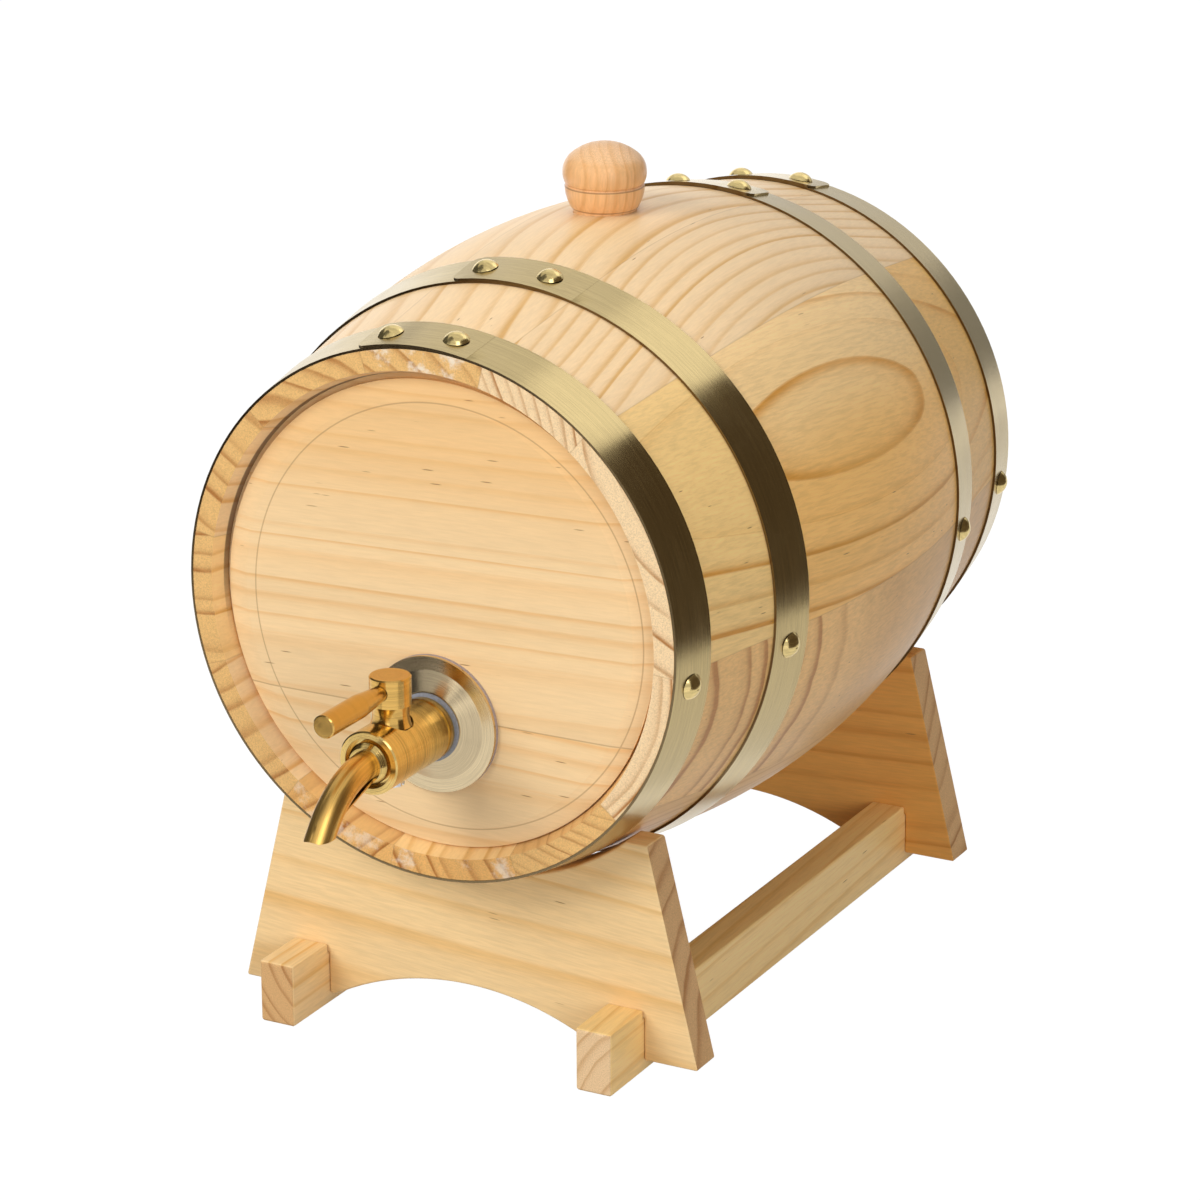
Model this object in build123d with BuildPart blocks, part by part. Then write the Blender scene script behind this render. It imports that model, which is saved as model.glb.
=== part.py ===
from build123d import *
from math import asin, cos, degrees, radians, sin, sqrt, tan
import os

# A five litre pine barrel with a brass tap, lying on a slotted pine stand.
# Millimetres, +Z up, barrel axis along Y, tap towards -Y, origin under the middle of the whole outline.
os.makedirs("parts", exist_ok=True)

# Barrel staves
barrel_length = 262
end_radius = 89.2
taper_length = 70
taper_angle = 9.6
stave_thickness = 12
chime_width = 7.1
chime_bevel = 2.2
croze_inset = 7.2
croze_width = 5
croze_depth = 3.3
first_stave_angle = 105
stave_width_shares = (29, 26, 27, 27, 36, 29, 31, 28, 33, 30, 32, 32)

# Barrel heads
head_thickness = 11
head_set_back = 4.4
head_bevel_width = 7.1
head_bevel_drop = 1.2
head_gap = 1
head_shift_share = 0.8
head_shift_angle = -52
tongue_clearance = 0.15
head_joint_rise = 2.5

# Hoops and their nails
hoop_width = 18
hoop_thickness = 0.8
hoop_clearance = 0.1
quarter_hoop_inset = 53
lap_angle = 28
lap_overhang = 8.5
lap_corner_radius = 4
nail_spacing = 24
side_nail_angle = -7
nail_head_radius = 4.4
nail_head_height = 2.5
nail_shank_radius = 1.2
nail_length = 6.5
nail_clearance = 0.05
nail_seat_gap = 0.1

# Bung
bung_side = 4.5
bung_tip_radius = 10
bung_tip_reach = 3
bung_plug_radius = 10.8
bung_foot_radius = 11.3
bung_foot_gap = 0.8
bung_groove_height = 8.4
bung_groove_radius = 13.6
bung_groove_width = 1.2
bung_groove_depth = 0.6
bung_knob_radius = 14.3
bung_knob_height = 12.8
bung_dome_height = 10.3
bung_clearance = 0.1
bung_swell_share = 0.75

# Tap body and what holds it in the head
tap_rise = 42.1
gasket_thickness = 1.4
flange_radius = 23.2
flange_rim_width = 4.5
flange_rim_thickness = 1.2
flange_height = 3.8
flange_hub_radius = 12.2
seal_thickness = 0.8
seal_radius = 11.6
body_radius = 10.7
body_length = 37
body_ring_inset = 3
body_ring_width = 1.2
body_ring_depth = 0.4
body_edge_ease = 0.5
shank_radius = 7
shank_tail = 2
shank_clearance = 0.1
flow_radius = 4
recess_radius = 8.4
recess_depth = 3
washer_radius = 11
washer_thickness = 2
nut_width = 22
nut_thickness = 6

# Spout
spout_radius = 4.75
spout_wall = 1.1
spout_socket = 6
spout_clearance = 0.05
spout_lead = 1.7
spout_bend_radius = 34
spout_bend_angle = 51
spout_tip_length = 5
collar_radius = 7.1
collar_nose_radius = 5.8
collar_reach = 2.2

# Tap key: stem, plug and lever
stem_set_back = 14.7
stem_seat_rise = 8.2
stem_seat_drop = 8
stem_pocket_radius = 7.2
stem_gap = 0.3
neck_radius = 6
neck_height = 7.3
cap_radius = 6.85
cap_height = 9.5
cap_edge_ease = 0.4
plug_radius = 5
plug_clearance = 0.05
port_radius = 3.5
ring_section = 1.5
ring_rise = 6.1
ring_groove_width = 1.7
ring_clearance = 0.02
lever_drop = 4.4
lever_reach = 41
lever_radius = 3.9
lever_root_radius = 2.6
lever_socket_depth = 5
lever_cone_length = 13
lever_clearance = 0.1
lever_edge_ease = 0.4
plate_radius = 5.6
plate_thickness = 1
plate_pocket_radius = 6.2
plate_gap = 0.1
screw_radius = 1.6
screw_depth = 3
screw_hole_spare = 0.4
screw_clearance = 0.05
screw_head_radius = 4
screw_head_height = 2.6
screw_slot_width = 0.9
screw_slot_depth = 0.9

# Stand
rail_overhang = 23
rail_width = 13
rail_height = 22
rail_spacing = 121
rail_ease = 1
board_thickness = 12.5
board_inset = 21.5
board_foot_gap = 4
board_height = 76
board_bottom_width = 174
board_top_width = 136.6
board_horn_width = 8.2
arch_width = 102
arch_height = 13.7
lap_depth = 3
joint_clearance = 0.1
cradle_clearance = 0.3

# Overrun that carries every cut past the face it opens
overrun = 1

# Values worked out from the driving sizes
half_length = barrel_length / 2
board_span = barrel_length - 2 * board_inset
rail_length = board_span + 2 * rail_overhang
taper_turn = radians(taper_angle)
shoulder = half_length - taper_length
shoulder_radius = end_radius + taper_length * tan(taper_turn)
bilge_radius = shoulder_radius + shoulder * tan(taper_turn / 2)
belly_curve = shoulder / sin(taper_turn)
chime_radius = end_radius - chime_width
lip_radius = chime_radius - chime_bevel
croze_radius = lip_radius + croze_depth
croze_back = half_length - croze_inset - croze_width
rim_radius = lip_radius - head_gap
tap_drop = rim_radius - tap_rise
spout_turn = radians(spout_bend_angle)
body_stack = gasket_thickness + flange_height + seal_thickness
body_front = head_set_back - body_stack - body_length
spout_reach = (spout_bend_radius + spout_radius) * sin(spout_turn) + spout_tip_length * cos(spout_turn)
front_reach = half_length - body_front + spout_lead + spout_reach
middle_y = (front_reach - rail_length / 2) / 2
front_y = middle_y - half_length
board_inner = board_span / 2 - board_thickness


def stave_radius(along):
    """Outside radius of the staves at a distance along the axis from the middle."""
    if abs(along) > shoulder:
        return end_radius + (half_length - abs(along)) * tan(taper_turn)
    return bilge_radius - belly_curve + sqrt(belly_curve**2 - along**2)


board_top = board_foot_gap + board_height
cradle_radius = max(stave_radius(board_inner), stave_radius(board_span / 2)) + cradle_clearance
cradle_half_width = board_top_width / 2 - board_horn_width
axis_height = board_top + sqrt(cradle_radius**2 - cradle_half_width**2)
tap_height = axis_height - tap_drop
barrel_axis = Axis((0, middle_y, axis_height), (0, 1, 0))


def radial_plane(angle):
    """Plane through the barrel axis, with x outwards at the angle and y along the axis."""
    turn = radians(angle)
    outwards = (cos(turn), 0, sin(turn))
    across = (-sin(turn), 0, cos(turn))
    return Plane((0, middle_y, axis_height), x_dir=outwards, z_dir=across)


# Hoop places: name, end of the barrel that the hoop belongs to, distance from that end, turn of its lap
hoop_places = (
    ("front_end_hoop", -1, 0, 3),
    ("front_quarter_hoop", -1, quarter_hoop_inset, 0),
    ("rear_quarter_hoop", 1, quarter_hoop_inset, 0),
    ("rear_end_hoop", 1, 0, 1),
)


class HoopBand:
    """Where one hoop lies on the staves, where its strip laps over itself and where its nails go."""

    def __init__(self, end, inset, lap_turn):
        edges = (end * (half_length - inset), end * (half_length - inset - hoop_width))
        self.low_edge = min(edges)
        self.high_edge = max(edges)
        self.middle = (self.low_edge + self.high_edge) / 2
        bulge = stave_radius(self.middle) - (stave_radius(self.low_edge) + stave_radius(self.high_edge)) / 2
        stand_off = max(bulge, 0) + hoop_clearance
        self.low_radius = stave_radius(self.low_edge) + stand_off
        self.high_radius = stave_radius(self.high_edge) + stand_off
        self.outside = (self.low_radius + self.high_radius) / 2 + hoop_thickness
        self.turning = -end
        nail_turn = degrees(asin(nail_spacing / 2 / self.outside))
        overhang_turn = degrees(asin(lap_overhang / self.outside))
        self.top_nails = (90 + lap_turn - nail_turn, 90 + lap_turn + nail_turn)
        self.flank_nails = (side_nail_angle, -180 - side_nail_angle)
        self.lap_start = 90 + lap_turn + self.turning * (nail_turn + overhang_turn)
        self.lap_shift = hoop_thickness / (1 - cos(radians(lap_angle)))

    def lap_rise(self, angle):
        """Height of the lapping strip's outside above the band at an angle."""
        turn = radians(angle - self.lap_start)
        strip_radius = self.outside + hoop_thickness - self.lap_shift
        reach = sqrt(strip_radius**2 - (self.lap_shift * sin(turn)) ** 2)
        return self.lap_shift * cos(turn) + reach - self.outside

    def nail_seat(self, angle, rise):
        """Plane that a nail's head rests on, with z along the nail and outwards."""
        turn = radians(angle)
        out = self.outside + rise + nail_seat_gap
        seat = (out * cos(turn), middle_y + self.middle, axis_height + out * sin(turn))
        lean = self.low_radius - self.high_radius
        return Plane(seat, z_dir=(hoop_width * cos(turn), lean, hoop_width * sin(turn)))

    def nail_seats(self):
        """Angle and seat of each nail: two through the lap and one on each flank."""
        on_lap = [(angle, self.nail_seat(angle, self.lap_rise(angle))) for angle in self.top_nails]
        on_band = [(angle, self.nail_seat(angle, 0)) for angle in self.flank_nails]
        return on_lap + on_band


hoop_bands = {name: HoopBand(end, inset, turn) for name, end, inset, turn in hoop_places}
nail_seats = [seat for band in hoop_bands.values() for seat in band.nail_seats()]

# Bung: its plug is a cone through the stave, a little to the left of the top
bung_tip = -stave_thickness - bung_tip_reach
bung_taper = (bung_tip_radius - bung_plug_radius) / bung_tip
bung_seat = (-bung_side, middle_y, axis_height + sqrt(bilge_radius**2 - bung_side**2))
bung_axis = Axis(bung_seat, (0, 0, 1))
bung_plane = Plane(bung_seat, x_dir=(1, 0, 0), z_dir=(0, -1, 0))

# Staves, clockwise from the one that holds the bung
stave_start = first_stave_angle
for number, width_share in enumerate(stave_width_shares, start=1):
    stave_turn = 360 * width_share / sum(stave_width_shares)
    with BuildPart() as stave:
        with BuildSketch(radial_plane(stave_start)):
            with BuildLine():
                for reach, depth in ((half_length, 0), (croze_back, stave_thickness)):
                    ThreePointArc(
                        (shoulder_radius - depth, -shoulder),
                        (bilge_radius - depth, 0),
                        (shoulder_radius - depth, shoulder),
                    )
                    for end in (-1, 1):
                        Line(
                            (shoulder_radius - depth, end * shoulder),
                            (stave_radius(reach) - depth, end * reach),
                        )
                for end in (-1, 1):
                    Polyline(
                        (end_radius, end * half_length),
                        (chime_radius, end * half_length),
                        (lip_radius, end * (half_length - croze_inset)),
                        (croze_radius, end * (half_length - croze_inset)),
                        (croze_radius, end * croze_back),
                        (stave_radius(croze_back) - stave_thickness, end * croze_back),
                    )
            make_face()
        revolve(axis=barrel_axis, revolution_arc=stave_turn)
        for angle, seat in nail_seats:
            if stave_start - stave_turn < angle < stave_start:
                with Locations(seat.location):
                    Cylinder(nail_shank_radius + nail_clearance, 2 * nail_length, mode=Mode.SUBTRACT)
        if number == 1:
            with BuildSketch(bung_plane):
                with BuildLine():
                    Polyline(
                        (0, bung_tip),
                        (bung_tip_radius + bung_clearance, bung_tip),
                        (bung_plug_radius + bung_clearance + bung_taper * overrun, overrun),
                        (0, overrun),
                        close=True,
                    )
                make_face()
            revolve(axis=bung_axis, mode=Mode.SUBTRACT)
    stave.part.label = f"stave_{number:02d}"
    export_step(stave.part, f"parts/stave_{number:02d}.step")
    stave_start = stave_start - stave_turn

# Heads: each is two boards, tongued into the croze and resting low in it
head_shift = head_gap * head_shift_share
head_shift_x = head_shift * cos(radians(head_shift_angle))
head_shift_z = head_shift * sin(radians(head_shift_angle))
tongue_radius = croze_radius - head_gap
head_back_radius = stave_radius(croze_back) - stave_thickness - head_gap
head_joint = tap_height + head_joint_rise
for side, end in (("front", -1), ("rear", 1)):
    head_axis = Axis((head_shift_x, middle_y, axis_height + head_shift_z), (0, 1, 0))
    head_plane = Plane(head_axis.position, x_dir=(1, 0, 0), z_dir=(0, 0, 1))
    for level, keep in (("lower", Keep.BOTTOM), ("upper", Keep.TOP)):
        with BuildPart() as head:
            with BuildSketch(head_plane):
                with BuildLine():
                    Polyline(
                        (0, end * (half_length - head_set_back)),
                        (rim_radius - head_bevel_width, end * (half_length - head_set_back)),
                        (rim_radius, end * (half_length - head_set_back - head_bevel_drop)),
                        (rim_radius, end * (half_length - croze_inset - tongue_clearance)),
                        (tongue_radius, end * (half_length - croze_inset - tongue_clearance)),
                        (tongue_radius, end * (croze_back + tongue_clearance)),
                        (head_back_radius, end * (croze_back + tongue_clearance)),
                        (head_back_radius, end * (half_length - head_set_back - head_thickness)),
                        (0, end * (half_length - head_set_back - head_thickness)),
                        close=True,
                    )
                make_face()
            revolve(axis=head_axis)
            split(bisect_by=Plane.XY.offset(head_joint), keep=keep)
            if end < 0:
                with Locations(Plane((0, front_y, tap_height), z_dir=(0, 1, 0)).location):
                    Cylinder(
                        shank_radius + shank_clearance,
                        2 * (head_set_back + head_thickness + overrun),
                        mode=Mode.SUBTRACT,
                    )
        head.part.label = f"{side}_head_{level}"
        export_step(head.part, f"parts/{side}_head_{level}.step")

# One nail, standing on the plane that its head rests on
with BuildPart() as nail:
    with BuildSketch(Plane.XZ):
        with BuildLine():
            Line((0, nail_head_height), (0, -nail_length))
            Line((0, -nail_length), (nail_shank_radius, -nail_length + 2 * nail_shank_radius))
            Line((nail_shank_radius, -nail_length + 2 * nail_shank_radius), (nail_shank_radius, 0))
            Line((nail_shank_radius, 0), (nail_head_radius, 0))
            RadiusArc(
                (nail_head_radius, 0),
                (0, nail_head_height),
                -(nail_head_radius**2 + nail_head_height**2) / (2 * nail_head_height),
            )
        make_face()
    revolve(axis=Axis.Z)

# Hoops: a flared band whose outer end laps over its start, and the nails through it
for hoop_name, band in hoop_bands.items():
    lap_middle = radians(band.lap_start - band.turning * lap_angle / 2)
    lap_origin = (0, middle_y + band.middle, axis_height)
    lap_out = (cos(lap_middle), 0, sin(lap_middle))
    lap_plane = Plane(lap_origin, x_dir=(-sin(lap_middle), 0, cos(lap_middle)), z_dir=lap_out)
    lap_length = 2 * (band.outside + hoop_thickness) * sin(radians(lap_angle / 2))
    lap_turn = radians(band.lap_start)
    lap_centre = (band.lap_shift * cos(lap_turn), middle_y, axis_height + band.lap_shift * sin(lap_turn))
    with BuildPart() as lap:
        with BuildSketch(radial_plane(band.lap_start)):
            with BuildLine():
                Polyline(
                    (band.low_radius + hoop_thickness, band.low_edge),
                    (band.low_radius + 2 * hoop_thickness, band.low_edge),
                    (band.high_radius + 2 * hoop_thickness, band.high_edge),
                    (band.high_radius + hoop_thickness, band.high_edge),
                    close=True,
                )
            make_face()
        revolve(axis=Axis(lap_centre, (0, 1, 0)), revolution_arc=band.turning * lap_angle)
        with BuildSketch(lap_plane):
            RectangleRounded(lap_length, hoop_width, lap_corner_radius)
        extrude(amount=2 * band.outside, mode=Mode.INTERSECT)
    with BuildPart() as hoop:
        with BuildSketch(radial_plane(band.lap_start)):
            with BuildLine():
                Polyline(
                    (band.low_radius, band.low_edge),
                    (band.low_radius + hoop_thickness, band.low_edge),
                    (band.high_radius + hoop_thickness, band.high_edge),
                    (band.high_radius, band.high_edge),
                    close=True,
                )
            make_face()
        revolve(axis=barrel_axis)
        add(lap.part)
        for angle, seat in band.nail_seats():
            with Locations(seat.location):
                Cylinder(nail_shank_radius + nail_clearance, 2 * nail_length, mode=Mode.SUBTRACT)
    hoop.part.label = hoop_name
    export_step(hoop.part, f"parts/{hoop_name}.step")
    with BuildPart() as hoop_nails:
        with Locations(*[seat.location for angle, seat in band.nail_seats()]):
            add(nail.part)
    hoop_nails.part.label = f"{hoop_name}_nails"
    export_step(hoop_nails.part, f"parts/{hoop_name}_nails.step")

# Bung: a turned knob, flared up from its foot, on the tapered plug
knob_top = bung_knob_height + bung_dome_height
groove_top = bung_groove_height + bung_groove_width


def bung_swell(low, high):
    """Point that rounds the knob between two points of its section."""
    return (low[0] + (high[0] - low[0]) * bung_swell_share, (low[1] + high[1]) / 2)


foot = (bung_foot_radius, bung_foot_gap)
groove_low = (bung_groove_radius, bung_groove_height)
groove_high = (bung_groove_radius, groove_top)
waist = (bung_knob_radius, bung_knob_height)
with BuildPart() as bung:
    with BuildSketch(bung_plane):
        with BuildLine():
            Polyline(
                (0, knob_top),
                (0, bung_tip),
                (bung_tip_radius, bung_tip),
                (bung_plug_radius + bung_taper * bung_foot_gap, bung_foot_gap),
                foot,
            )
            ThreePointArc(foot, bung_swell(foot, groove_low), groove_low)
            Polyline(
                groove_low,
                (bung_groove_radius - bung_groove_depth, bung_groove_height + bung_groove_width / 2),
                groove_high,
            )
            ThreePointArc(groove_high, bung_swell(groove_high, waist), waist)
            Spline(
                waist,
                (bung_knob_radius * cos(radians(45)), bung_knob_height + bung_dome_height * sin(radians(45))),
                (0, knob_top),
                tangents=((0, 1), (-1, 0)),
            )
        make_face()
    revolve(axis=bung_axis)
bung.part.label = "bung"
export_step(bung.part, "parts/bung.step")

# Tap: sections are drawn with x out from the tap's axis and y inwards from the head's outer face
head_face_y = front_y + head_set_back
tap_axis = Axis((0, head_face_y, tap_height), (0, 1, 0))
tap_plane = Plane((0, head_face_y, tap_height), x_dir=(1, 0, 0), z_dir=(0, 0, 1))
flange_back = -gasket_thickness
flange_front = flange_back - flange_height
body_back = -body_stack
body_face = body_back - body_length
shank_end = head_thickness + washer_thickness + nut_thickness + shank_tail
shank_hole_radius = shank_radius + shank_clearance

with BuildPart() as flange_gasket:
    with BuildSketch(Plane((0, head_face_y, tap_height), z_dir=(0, -1, 0))):
        Circle(flange_radius)
        Circle(shank_hole_radius, mode=Mode.SUBTRACT)
    extrude(amount=gasket_thickness)
flange_gasket.part.label = "flange_gasket"
export_step(flange_gasket.part, "parts/flange_gasket.step")

with BuildPart() as tap_flange:
    with BuildSketch(tap_plane):
        with BuildLine():
            Polyline(
                (shank_hole_radius, flange_back),
                (flange_radius, flange_back),
                (flange_radius, flange_back - flange_rim_thickness),
                (flange_radius - flange_rim_width, flange_back - flange_rim_thickness),
                (flange_hub_radius, flange_front),
                (shank_hole_radius, flange_front),
                close=True,
            )
        make_face()
    revolve(axis=tap_axis)
tap_flange.part.label = "tap_flange"
export_step(tap_flange.part, "parts/tap_flange.step")

with BuildPart() as body_seal:
    with BuildSketch(Plane((0, head_face_y + flange_front, tap_height), z_dir=(0, -1, 0))):
        Circle(seal_radius)
        Circle(shank_hole_radius, mode=Mode.SUBTRACT)
    extrude(amount=seal_thickness)
body_seal.part.label = "body_seal"
export_step(body_seal.part, "parts/body_seal.step")

# The stem stands across the tap's axis, behind the body's front face
stem_y = head_face_y + body_face + stem_set_back
stem_axis = Axis((0, stem_y, tap_height), (0, 0, 1))
stem_plane = Plane((0, stem_y, tap_height), x_dir=(1, 0, 0), z_dir=(0, -1, 0))
plug_hole_radius = plug_radius + plug_clearance
socket_radius = spout_radius + spout_clearance

with BuildPart() as tap_body:
    with BuildSketch(tap_plane):
        with BuildLine():
            Polyline(
                (flow_radius, shank_end),
                (shank_radius, shank_end),
                (shank_radius, body_back),
                (body_radius - body_edge_ease, body_back),
                (body_radius, body_back - body_edge_ease),
                (body_radius, body_back - body_ring_inset),
                (body_radius - body_ring_depth, body_back - body_ring_inset),
                (body_radius - body_ring_depth, body_back - body_ring_inset - body_ring_width),
                (body_radius, body_back - body_ring_inset - body_ring_width),
                (body_radius, body_face + body_edge_ease),
                (body_radius - body_edge_ease, body_face),
                (recess_radius, body_face),
                (recess_radius, body_face + recess_depth),
                (socket_radius, body_face + recess_depth),
                (socket_radius, body_face + recess_depth + spout_socket),
                (flow_radius, body_face + recess_depth + spout_socket),
                close=True,
            )
        make_face()
    revolve(axis=tap_axis)
    with BuildSketch(stem_plane):
        with BuildLine():
            Polyline(
                (0, body_radius + overrun),
                (stem_pocket_radius, body_radius + overrun),
                (stem_pocket_radius, stem_seat_rise),
                (plug_hole_radius, stem_seat_rise),
                (plug_hole_radius, -stem_seat_drop),
                (plate_pocket_radius, -stem_seat_drop),
                (plate_pocket_radius, -body_radius - overrun),
                (0, -body_radius - overrun),
                close=True,
            )
        make_face()
    revolve(axis=stem_axis, mode=Mode.SUBTRACT)
tap_body.part.label = "tap_body"
export_step(tap_body.part, "parts/tap_body.step")

with BuildPart() as shank_washer:
    with BuildSketch(Plane((0, head_face_y + head_thickness, tap_height), z_dir=(0, 1, 0))):
        Circle(washer_radius)
        Circle(shank_hole_radius, mode=Mode.SUBTRACT)
    extrude(amount=washer_thickness)
shank_washer.part.label = "shank_washer"
export_step(shank_washer.part, "parts/shank_washer.step")

nut_y = head_face_y + head_thickness + washer_thickness
with BuildPart() as lock_nut:
    with BuildSketch(Plane((0, nut_y, tap_height), z_dir=(0, 1, 0))):
        RegularPolygon(nut_width / 2, 6, major_radius=False)
        Circle(shank_hole_radius, mode=Mode.SUBTRACT)
    extrude(amount=nut_thickness)
lock_nut.part.label = "lock_nut"
export_step(lock_nut.part, "parts/lock_nut.step")

with BuildPart() as spout_collar:
    with BuildSketch(tap_plane):
        with BuildLine():
            Polyline(
                (socket_radius, body_face + recess_depth),
                (collar_radius, body_face + recess_depth),
                (collar_radius, body_face),
                (collar_nose_radius, body_face - collar_reach),
                (socket_radius, body_face - collar_reach),
                close=True,
            )
        make_face()
    revolve(axis=tap_axis)
spout_collar.part.label = "spout_collar"
export_step(spout_collar.part, "parts/spout_collar.step")

# Spout: a tube that leaves the body straight, bends down and ends in a short straight tip
spout_plane = Plane((0, head_face_y + body_face, tap_height), x_dir=(0, -1, 0), z_dir=(1, 0, 0))
spout_start = recess_depth + spout_socket
with BuildPart() as spout:
    with BuildLine(spout_plane) as spout_path:
        lead = Line((-spout_start, 0), (spout_lead, 0))
        bend = JernArc(lead @ 1, lead % 1, spout_bend_radius, spout_bend_angle)
        Line(bend @ 1, bend @ 1 + bend % 1 * spout_tip_length)
    with BuildSketch(Plane(spout_path.wires()[0] @ 0, z_dir=spout_path.wires()[0] % 0)):
        Circle(spout_radius)
        Circle(spout_radius - spout_wall, mode=Mode.SUBTRACT)
    sweep(path=spout_path.wires()[0])
spout.part.label = "spout"
export_step(spout.part, "parts/spout.step")

# Tap key: the cap, neck and plug are one turning, ported across the flow
neck_bottom = stem_seat_rise + stem_gap
neck_top = neck_bottom + neck_height
cap_top = neck_top + cap_height
lever_rise = cap_top - lever_drop
plug_end = -stem_seat_drop - plate_gap
with BuildPart() as tap_stem:
    with BuildSketch(stem_plane):
        with BuildLine():
            Polyline(
                (0, plug_end),
                (plug_radius, plug_end),
                (plug_radius, neck_bottom),
                (cap_radius, neck_bottom),
            )
            Spline(
                (cap_radius, neck_bottom),
                (neck_radius, (neck_bottom + neck_top) / 2),
                (cap_radius, neck_top),
            )
            Polyline(
                (cap_radius, neck_top),
                (cap_radius, cap_top - cap_edge_ease),
                (cap_radius - cap_edge_ease, cap_top),
                (0, cap_top),
                (0, plug_end),
            )
        make_face()
    revolve(axis=stem_axis)
    with BuildSketch(stem_plane):
        with Locations((plug_radius, ring_rise), (plug_radius, -ring_rise)):
            Rectangle(2 * ring_section, ring_groove_width)
    revolve(axis=stem_axis, mode=Mode.SUBTRACT)
    with Locations(Plane((0, stem_y, tap_height), z_dir=(0, 1, 0)).location):
        Cylinder(port_radius, 2 * plug_radius + overrun, mode=Mode.SUBTRACT)
    socket_y = stem_y - cap_radius + lever_socket_depth
    with BuildSketch(Plane((0, socket_y, tap_height + lever_rise), z_dir=(0, -1, 0))):
        Circle(lever_root_radius + lever_clearance)
    extrude(amount=lever_socket_depth + overrun, mode=Mode.SUBTRACT)
    with BuildSketch(Plane((0, stem_y, tap_height + plug_end))):
        Circle(screw_radius + screw_clearance)
    extrude(amount=screw_depth + screw_hole_spare, mode=Mode.SUBTRACT)
tap_stem.part.label = "tap_stem"
export_step(tap_stem.part, "parts/tap_stem.step")

with BuildPart() as stem_o_rings:
    with BuildSketch(stem_plane):
        ring_middle = plug_hole_radius - ring_clearance - ring_section / 2
        with Locations((ring_middle, ring_rise), (ring_middle, -ring_rise)):
            Circle(ring_section / 2)
    revolve(axis=stem_axis)
stem_o_rings.part.label = "stem_o_rings"
export_step(stem_o_rings.part, "parts/stem_o_rings.step")

# Lever: drawn with x out from its own axis and y forwards from the stem's axis
lever_axis = Axis((0, stem_y, tap_height + lever_rise), (0, -1, 0))
lever_plane = Plane((0, stem_y, tap_height + lever_rise), x_dir=(1, 0, 0), z_dir=(0, 0, -1))
lever_start = cap_radius - lever_socket_depth + lever_clearance
with BuildPart() as tap_lever:
    with BuildSketch(lever_plane):
        with BuildLine():
            Polyline(
                (0, lever_start),
                (lever_root_radius, lever_start),
                (lever_root_radius, cap_radius),
                (lever_radius, cap_radius + lever_cone_length),
                (lever_radius, lever_reach - lever_edge_ease),
                (lever_radius - lever_edge_ease, lever_reach),
                (0, lever_reach),
                close=True,
            )
        make_face()
    revolve(axis=lever_axis)
tap_lever.part.label = "tap_lever"
export_step(tap_lever.part, "parts/tap_lever.step")

# Plate and screw that keep the plug in the body from below
with BuildPart() as stem_plate:
    with BuildSketch(Plane((0, stem_y, tap_height + plug_end), z_dir=(0, 0, -1))):
        Circle(plate_radius)
        Circle(screw_radius + screw_clearance, mode=Mode.SUBTRACT)
    extrude(amount=plate_thickness)
stem_plate.part.label = "stem_plate"
export_step(stem_plate.part, "parts/stem_plate.step")

screw_seat = plug_end - plate_thickness
with BuildPart() as stem_screw:
    with BuildSketch(Plane((0, stem_y, tap_height + screw_seat), z_dir=(0, 0, -1))):
        Circle(screw_head_radius)
    extrude(amount=screw_head_height)
    with BuildSketch(Plane((0, stem_y, tap_height + screw_seat))):
        Circle(screw_radius)
    extrude(amount=plate_thickness + screw_depth)
    with BuildSketch(Plane((0, stem_y, tap_height + screw_seat - screw_head_height))):
        Rectangle(2 * screw_head_radius + overrun, screw_slot_width)
    extrude(amount=screw_slot_depth, mode=Mode.SUBTRACT)
stem_screw.part.label = "stem_screw"
export_step(stem_screw.part, "parts/stem_screw.step")

# Stand: two cradle boards slotted over two rails
arch_radius = (arch_width**2 / 4 + arch_height**2) / (2 * arch_height)
slot_top = rail_height - lap_depth
for side, end in (("front", -1), ("rear", 1)):
    board_face = middle_y + end * (board_span - board_thickness) / 2 + board_thickness / 2
    with BuildPart() as cradle:
        with BuildSketch(Plane((0, board_face, 0), x_dir=(1, 0, 0), z_dir=(0, -1, 0))):
            with BuildLine():
                Polyline(
                    (-board_bottom_width / 2, board_foot_gap),
                    (board_bottom_width / 2, board_foot_gap),
                    (board_top_width / 2, board_top),
                    (-board_top_width / 2, board_top),
                    close=True,
                )
            make_face()
            with Locations((0, axis_height)):
                Circle(cradle_radius, mode=Mode.SUBTRACT)
            with Locations((0, board_foot_gap + arch_height - arch_radius)):
                Circle(arch_radius, mode=Mode.SUBTRACT)
            with Locations((-rail_spacing / 2, slot_top / 2), (rail_spacing / 2, slot_top / 2)):
                Rectangle(rail_width + 2 * joint_clearance, slot_top, mode=Mode.SUBTRACT)
        extrude(amount=board_thickness)
    cradle.part.label = f"{side}_cradle"
    export_step(cradle.part, f"parts/{side}_cradle.step")

for side, place in (("left", -1), ("right", 1)):
    with BuildPart() as rail:
        with BuildSketch(Plane((place * rail_spacing / 2, middle_y, 0))):
            Rectangle(rail_width, rail_length)
        extrude(amount=rail_height)
        fillet(rail.faces().sort_by(Axis.Z)[0].edges(), radius=rail_ease)
        with BuildSketch(Plane((place * rail_spacing / 2, middle_y, slot_top))):
            with GridLocations(rail_width, board_span - board_thickness, 1, 2):
                Rectangle(rail_width + overrun, board_thickness + 2 * joint_clearance)
        extrude(amount=lap_depth + overrun, mode=Mode.SUBTRACT)
    rail.part.label = f"{side}_rail"
    export_step(rail.part, f"parts/{side}_rail.step")
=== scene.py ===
import math

import bmesh
import bpy
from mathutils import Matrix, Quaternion, Vector


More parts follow.
